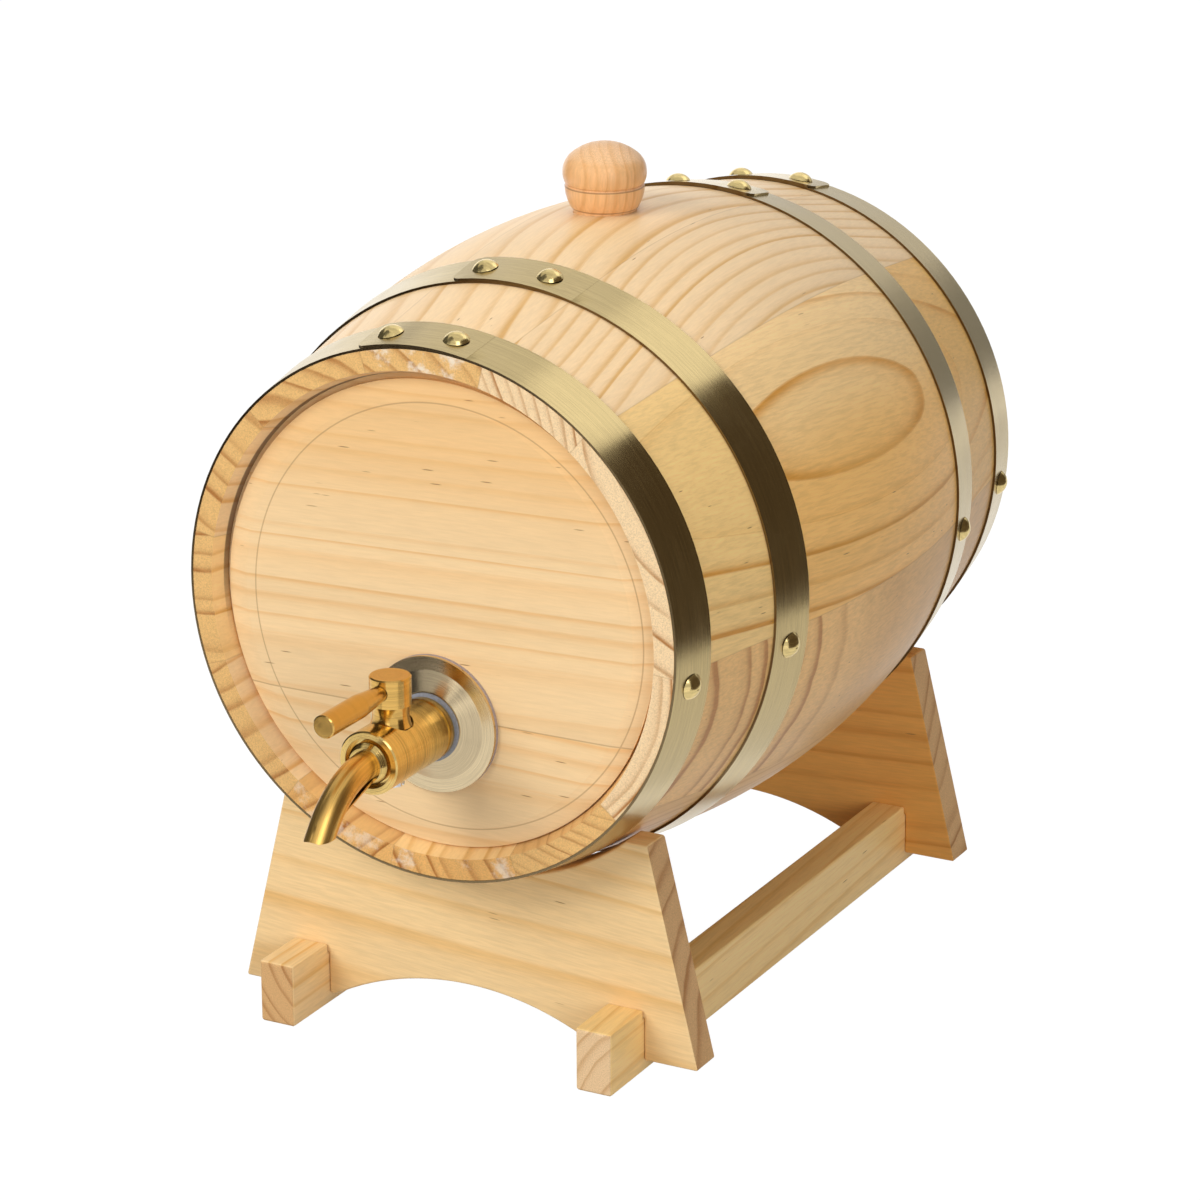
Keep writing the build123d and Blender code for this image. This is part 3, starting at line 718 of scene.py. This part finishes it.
patchLook = {"scale": 55.0, "detail": 3.0, "span": (0.3, 0.7), "levels": (0.85, 1.15)}
dentLook = {"scale": 420.0, "height": 0.015 * mm}
edgeSpan = (0.6, 0.8)
innerSoft = 0.1 * mm
brushTurn = 0.25  # a quarter turn, across the lines


def metalMaterial(name, look):
    material, tree, shader = newMaterial(name)
    coords = put(tree, "ShaderNodeTexCoord")
    place = coords.outputs["Object"]
    offset = vectors(tree, "SUBTRACT", place, tuple(look["centre"]))
    length = vectors(tree, "DOT_PRODUCT", offset, look["axis"])
    across = vectors(tree, "SUBTRACT", offset, scaled(tree, look["axis"], length))
    reach = vectors(tree, "LENGTH", across)
    if look["drawn"]:
        lined = vectors(tree, "MULTIPLY", coords.outputs["UV"], lineLook["drawnOut"])
    else:
        lined = put(tree, "ShaderNodeCombineXYZ", {0: length, 1: reach}).outputs["Vector"]
        lined = vectors(tree, "ADD", lined, scaled(tree, across, lineLook["stray"]))

    # colour
    streak = noise(tree, lined, look["lines"], lineLook["detail"], lineLook["rough"])
    marks = noise(tree, lined, markLook["scale"], 1.0)
    marks = ranged(tree, marks, *markLook["span"], 1.0, 1.0 - look["marks"])
    level = ranged(tree, streak, *lineLook["span"], *lineLook["levels"])
    colour = shaded(tree, look["colour"], sums(tree, "MULTIPLY", level, marks))
    # painted shade inside the radius
    if look["innerShade"]:
        radius, level = look["innerShade"]
        share = ranged(tree, reach, radius - innerSoft, radius + innerSoft)
        colour = mixed(tree, share, shaded(tree, colour, level), colour)
    # painted shade on the faces across the axis
    if look["edgeShade"]:
        facing = vectors(tree, "DOT_PRODUCT", coords.outputs["Normal"], look["axis"])
        share = ranged(tree, sums(tree, "ABSOLUTE", facing), *edgeSpan)
        colour = mixed(tree, share, colour, look["edgeShade"])
    tree.links.new(colour, shader.inputs["Base Color"])

    # polish
    patch = noise(tree, place, patchLook["scale"], patchLook["detail"])
    levels = [look["roughness"] * level for level in patchLook["levels"]]
    rough = ranged(tree, patch, *patchLook["span"], *levels)
    lines = sums(tree, "SUBTRACT", streak, 0.5)
    rough = sums(tree, "MULTIPLY_ADD", lines, lineLook["roughShare"], rough)
    tree.links.new(rough, shader.inputs["Roughness"])
    shader.inputs["Metallic"].default_value = 1.0
    if not look["drawn"]:
        shader.inputs["Anisotropic"].default_value = look["anisotropy"]
        shader.inputs["Anisotropic Rotation"].default_value = brushTurn
        tangent = put(tree, "ShaderNodeTangent", direction_type="RADIAL", axis=look["spin"])
        tree.links.new(tangent.outputs["Tangent"], shader.inputs["Tangent"])
    height = sums(tree, "MULTIPLY", streak, look["depth"] * lineLook["height"])
    if look["dent"]:
        dents = noise(tree, place, dentLook["scale"], 1.0)
        height = sums(tree, "MULTIPLY_ADD", dents, look["dent"] * dentLook["height"], height)
    if look["dish"]:
        height = sums(tree, "MULTIPLY_ADD", reach, -look["dish"], height)
    bumped(tree, shader, height, 1.0, 1.0)
    return material


tapMiddle = middleOf("tap_flange")
stemMiddle = middleOf("tap_stem")
brass = (0.70, 0.43, 0.12)
metalSorts = {
    "hoopBrass": {
        "colour": (0.555, 0.43, 0.205),
        "centre": barrelMiddle,
        "lines": 4000.0,
        # the hoops' edge faces painted dark, as painted shade
        "edgeShade": (0.20, 0.14, 0.07),
        "pieces": hoopNames,
    },
    "nailBrass": {
        "colour": (0.80, 0.62, 0.27),
        "centre": barrelMiddle,
        "axis": upAxis,
        "lines": 900.0,
        "anisotropy": 0.0,
        "dent": 4.0,
        "pieces": [f"{name}_nails" for name in hoopNames],
    },
    "tapBrass": {
        "colour": (0.77, 0.54, 0.19),
        "centre": tapMiddle,
        "lines": 2600.0,
        "roughness": 0.16,
        "depth": 1.0,
        "marks": 0.2,
        "pieces": ["tap_body", "spout_collar", "spout", "lock_nut"],
    },
    "stemBrass": {
        "colour": brass,
        "centre": stemMiddle,
        "axis": upAxis,
        "spin": "Z",
        "roughness": 0.16,
        "marks": 0.08,
        "pieces": ["tap_stem"],
    },
    "leverBrass": {
        "colour": brass,
        "centre": middleOf("tap_lever"),
        "roughness": 0.18,
        "marks": 0.08,
        "pieces": ["tap_lever"],
    },
    "spoutBrass": {
        "colour": (0.84, 0.51, 0.14),
        "centre": tapMiddle,
        "lines": 1500.0,
        "roughness": 0.3,
        "drawn": True,
    },
    "flangeBrass": {
        "colour": (0.66, 0.53, 0.33),
        "centre": tapMiddle,
        "lines": 5000.0,
        "anisotropy": 0.6,
        "dish": 0.12,
        # painted shade on the inner ring near the tap's body
        "innerShade": (18.7 * mm, 0.84),
        "pieces": ["tap_flange"],
    },
    "screwSteel": {
        "colour": (0.75, 0.75, 0.76),
        "centre": stemMiddle,
        "axis": upAxis,
        "spin": "Z",
        "pieces": ["stem_screw", "stem_plate"],
    },
}
metals = {}
for sort, changes in metalSorts.items():
    look = {**metalLook, **changes}
    metals[sort] = metalMaterial(sort, look)
    for name in look["pieces"]:
        dress(name, metals[sort])

# spout: drawn tube whose end is cut level
spoutLook = {
    "straight": 10.7 * mm,
    "bend": 34 * mm,
    "turn": math.radians(51),
    "tip": 6 * mm,
    "wall": 1.1 * mm,
    "cut": 14.7 * mm,
    "cutNear": 0.01 * mm,
    "ease": 0.15 * mm,
    "easeSteps": 2,
    "easeProfile": 0.5,
    "sharp": math.radians(50),
    "around": 64,
    "steps": 36,
}


def spoutPath(start):
    straight, bend, turn = (spoutLook[key] for key in ("straight", "bend", "turn"))
    stops = [(start, 0.0, 0.0)]
    corner = start - Vector((0, straight, 0))
    for step in range(spoutLook["steps"] + 1):
        angle = turn * step / spoutLook["steps"]
        place = corner - Vector((0, math.sin(angle), 1 - math.cos(angle))) * bend
        stops.append((place, angle, straight + bend * angle))
    place = stops[-1][0] - Vector((0, math.cos(turn), math.sin(turn))) * spoutLook["tip"]
    return stops + [(place, turn, stops[-1][2] + spoutLook["tip"])]


def tubeWall(mesh, uvLayer, path, radius, inwards):
    rings = []
    for place, angle, _ in path:
        upwards = Vector((0, -math.sin(angle), math.cos(angle)))
        ring = []
        for step in range(spoutLook["around"]):
            turn = math.tau * step / spoutLook["around"]
            aside = Vector((math.cos(turn), 0, 0)) * radius
            ring.append(mesh.verts.new(place + aside + upwards * math.sin(turn) * radius))
        rings.append(ring)
    for row, (ring, after) in enumerate(zip(rings, rings[1:])):
        for step in range(len(ring)):
            beside = (step + 1) % len(ring)
            corners = [ring[step], ring[beside], after[beside], after[step]]
            marks = [(step, row), (step + 1, row), (step + 1, row + 1), (step, row + 1)]
            if inwards:
                corners.reverse()
                marks.reverse()
            face = mesh.faces.new(corners)
            for loop, (turn, stop) in zip(face.loops, marks):
                loop[uvLayer].uv = (math.tau * radius * turn / len(ring), path[stop][2])


def buildSpout():
    low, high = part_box("spout")
    radius = (high.x - low.x) / 2
    start = Vector(((low.x + high.x) / 2, high.y, tapMiddle.z))
    cut = start - Vector((0, 0, spoutLook["cut"]))
    shape = bmesh.new()
    uvLayer = shape.loops.layers.uv.new("tube")
    path = spoutPath(start)
    tubeWall(shape, uvLayer, path, radius, False)
    tubeWall(shape, uvLayer, path, radius - spoutLook["wall"], True)

    # cut the end, close the wall at both ends and ease the lower rim
    everything = shape.verts[:] + shape.edges[:] + shape.faces[:]
    bmesh.ops.bisect_plane(
        shape, geom=everything, plane_co=cut, plane_no=(0, 0, -1), clear_outer=True
    )
    rims = [edge for edge in shape.edges if edge.is_boundary]
    limit = cut.z + spoutLook["cutNear"]
    lower = [edge for edge in rims if max(vertex.co.z for vertex in edge.verts) < limit]
    bmesh.ops.bridge_loops(shape, edges=lower)
    bmesh.ops.bridge_loops(shape, edges=[edge for edge in rims if edge not in lower])
    bmesh.ops.bevel(
        shape,
        geom=lower,
        offset=spoutLook["ease"],
        segments=spoutLook["easeSteps"],
        profile=spoutLook["easeProfile"],
        affect="EDGES",
    )
    bmesh.ops.recalc_face_normals(shape, faces=shape.faces)
    for face in shape.faces:
        face.smooth = True
    mesh = bpy.data.meshes.new("levelSpout")
    shape.to_mesh(mesh)
    shape.free()
    mesh.set_sharp_from_angle(angle=spoutLook["sharp"])
    mesh.materials.append(metals["spoutBrass"])
    piece = bpy.data.objects.new("levelSpout", mesh)
    bpy.context.scene.collection.objects.link(piece)
    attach(piece, "barrel")
    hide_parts("spout")


buildSpout()
print("spout built")

# rubber: matt, with a fine grain
rubberLook = {
    "grain": 1400.0,
    "detail": 3.0,
    "span": (0.3, 0.7),
    "levels": (0.85, 1.12),
    "roughness": (0.55, 0.7),
    "strength": 0.2,
    "distance": 0.05 * mm,
}
rubberSorts = {
    "gasketRubber": ((0.40, 0.33, 0.33), ["flange_gasket"]),
    "sealRubber": ((0.30, 0.32, 0.38), ["body_seal", "shank_washer", "stem_o_rings"]),
}


def rubberMaterial(name, colour):
    material, tree, shader = newMaterial(name)
    place = put(tree, "ShaderNodeTexCoord").outputs["Object"]
    grain = noise(tree, place, rubberLook["grain"], rubberLook["detail"])
    level = ranged(tree, grain, *rubberLook["span"], *rubberLook["levels"])
    tree.links.new(shaded(tree, colour, level), shader.inputs["Base Color"])
    rough = ranged(tree, grain, *rubberLook["span"], *rubberLook["roughness"])
    tree.links.new(rough, shader.inputs["Roughness"])
    bumped(tree, shader, grain, rubberLook["strength"], rubberLook["distance"])
    return material


for sort, (colour, pieces) in rubberSorts.items():
    rubber = rubberMaterial(sort, colour)
    for name in pieces:
        dress(name, rubber)
print("metal and rubber dressed")


# stage: white paper, white room, soft lamps, and cards that only show in polished metal
def stagePlane(name, corners, material):
    mesh = bpy.data.meshes.new(name)
    mesh.from_pydata(corners, [], [(0, 1, 2, 3)])
    mesh.materials.append(material)
    plane = bpy.data.objects.new(name, mesh)
    bpy.context.scene.collection.objects.link(plane)
    return plane


def anyRay(tree, *kinds):
    rays = put(tree, "ShaderNodeLightPath")
    share = rays.outputs[kinds[0]]
    for kind in kinds[1:]:
        share = sums(tree, "MAXIMUM", share, rays.outputs[kind])
    return share


floorLook = {
    "half": 12.0,
    "drop": 0.1 * mm,
    "paper": (0.45, 0.45, 0.45, 1.0),  # as it lights the part
    "glow": 0.94,  # share of glow where it is seen
    "level": 1.06,
}
white = (1, 1, 1, 1)
floorMaterial, tree = emptyMaterial("whitePaper")
paper = put(tree, "ShaderNodeBsdfDiffuse", {"Color": floorLook["paper"]})
lit = put(tree, "ShaderNodeBsdfDiffuse", {"Color": white})
glow = put(tree, "ShaderNodeEmission", {"Color": white, "Strength": floorLook["level"]})
inputs = {0: floorLook["glow"], 1: lit.outputs[0], 2: glow.outputs[0]}
shown = put(tree, "ShaderNodeMixShader", inputs)
seen = anyRay(tree, "Is Camera Ray", "Is Glossy Ray", "Is Transmission Ray")
either = put(tree, "ShaderNodeMixShader", {0: seen, 1: paper.outputs[0], 2: shown.outputs[0]})
put(tree, "ShaderNodeOutputMaterial", {"Surface": either.outputs[0]})
half, ground = floorLook["half"], cadBox[0].z - floorLook["drop"]
stagePlane(
    "floor",
    [(-half, -half, ground), (half, -half, ground), (half, half, ground), (-half, half, ground)],
    floorMaterial,
)

roomLook = {"soft": 0.24, "mirrored": 0.75}
world = bpy.data.worlds.new("room")
bpy.context.scene.world = world
world.use_nodes = True
tree = world.node_tree
tree.nodes.clear()
extra = roomLook["mirrored"] - roomLook["soft"]
level = sums(tree, "MULTIPLY_ADD", anyRay(tree, "Is Glossy Ray"), extra, roomLook["soft"])
seen = anyRay(tree, "Is Camera Ray", "Is Transmission Ray")
level = sums(tree, "MAXIMUM", level, seen)
air = put(tree, "ShaderNodeBackground", {"Color": white, "Strength": level})
put(tree, "ShaderNodeOutputWorld", {"Surface": air.outputs[0]})

# lamps turned to the barrel: place, size, watts
lamps = {
    "keyLight": ((-0.9, -1.9, 1.5), (1.4, 1.2), 39),
    "topLight": ((0.0, 0.3, 1.9), (1.6, 1.6), 11),
    "sideLight": ((1.7, -1.4, 0.6), (1.2, 0.9), 16),
}


def softLight(name, place, size, watts):
    data = bpy.data.lights.new(name, "AREA")
    data.shape = "RECTANGLE"
    data.size, data.size_y = size
    data.energy = watts
    lamp = bpy.data.objects.new(name, data)
    lamp.location = place
    lamp.rotation_euler = (barrelMiddle - Vector(place)).to_track_quat("-Z", "Y").to_euler()
    lamp.visible_glossy = False
    bpy.context.scene.collection.objects.link(lamp)


for name, lamp in lamps.items():
    softLight(name, *lamp)

# cards: middle, facing, size, level and tint, some of them lying on the table
cardRise = 2 * mm
warmTint = (1.0, 0.8, 0.6)
cards = {
    "darkSide": ((0.42, 0.25, 0.36), (-1, 0, 0), (1.0, 0.72), 0.1, (1.0, 0.75, 0.5)),
    "darkFront": ((-0.6, -1.0, 0.3), (0.55, 0.83, 0), (1.3, 0.6), 0.06, warmTint),
    "darkLeft": ((-0.8, -0.2, 0.45), (1, 0, 0), (1.1, 0.9), 0.1),
    "lightFront": ((0.28, -1.25, 0.25), (-0.2, 1, 0), (0.35, 0.44), 1.6),
    "lightAbove": ((0.3, 0.75, 1.05), (-0.2, -0.65, -0.75), (0.7, 0.5), 1.5),
    "lightBack": ((-0.2, 0.8, 1.03), (0.15, -0.7, -0.7), (1.0, 1.0), 1.0),
    "lightLeft": ((-0.9, 0.9, 0.35), (0.7, -0.7, 0), (1.2, 0.7), 1.3),
    "floorShade": ((0.5, 0.35, cardRise), upAxis, (0.8, 1.2), 0.85),
    "tableEnd": ((-0.88, -1.05, cardRise), upAxis, (1.04, 1.1), 0.08, warmTint),
    "tableEdge": ((-0.24, -0.54, cardRise), upAxis, (0.24, 0.16), 0.1, warmTint),
    "tableLight": ((-0.17, -0.95, cardRise), upAxis, (0.3, 0.5), 1.6),
    "lightHigh": ((0.02, -1.25, 0.74), (0, 0.9, -0.45), (0.3, 0.3), 1.6),
    "softBox": ((0.95, -1.05, 1.3), (-0.52, 0.52, -0.65), (0.8, 0.8), 3.0),
    "darkUpper": ((-0.55, -0.5, 1.1), (0.45, 0.3, -0.8), (0.7, 0.7), 0.15),
    "greyBack": ((0.9, 1.9, 0.3), (-0.4, -0.9, 0), (1.8, 0.8), 0.3),
}
lyingFrom = 0.9  # a card that faces up or down this much is turned by the barrel's axis


def mirrorCard(name, middle, facing, size, level, tint=(1, 1, 1)):
    material, tree = emptyMaterial(name)
    light = put(tree, "ShaderNodeEmission", {"Color": (*tint, 1), "Strength": level})
    put(tree, "ShaderNodeOutputMaterial", {"Surface": light.outputs[0]})
    normal = Vector(facing).normalized()
    upright = Vector(barrelAxis if abs(normal.z) > lyingFrom else upAxis)
    across = normal.cross(upright).normalized() * size[0] / 2
    upwards = across.cross(normal).normalized() * size[1] / 2
    lower, upper = Vector(middle) - upwards, Vector(middle) + upwards
    corners = [lower - across, lower + across, upper + across, upper - across]
    card = stagePlane(name, corners, material)
    card.visible_camera = False
    card.visible_diffuse = False
    card.visible_transmission = False
    card.visible_shadow = False


for name, card in cards.items():
    mirrorCard(name, *card)

# camera, from the photograph's own view
cameraLook = {
    "lens": 136.82,
    "azimuth": 28.19,
    "elevation": 18.73,
    "roll": -0.30,
    "reach": 1575.12 * mm,
    "target": Vector((-0.48, 23.62, 124.45)) * mm,
    "farthest": 100.0,
}
angles = [math.radians(cameraLook[key]) for key in ("azimuth", "elevation", "roll")]
azimuth, elevation, roll = angles
level = math.cos(elevation)
back = Vector((math.sin(azimuth) * level, -math.cos(azimuth) * level, math.sin(elevation)))
cameraData = bpy.data.cameras.new("camera")
cameraData.lens = cameraLook["lens"]
cameraData.clip_end = cameraLook["farthest"]
camera = bpy.data.objects.new("camera", cameraData)
camera.location = cameraLook["target"] + back * cameraLook["reach"]
camera.rotation_mode = "QUATERNION"
camera.rotation_quaternion = Quaternion(back, roll) @ (-back).to_track_quat("-Z", "Y")
bpy.context.scene.collection.objects.link(camera)
bpy.context.scene.camera = camera
bpy.context.scene.view_settings.view_transform = "Standard"
print("stage, lights and camera set")
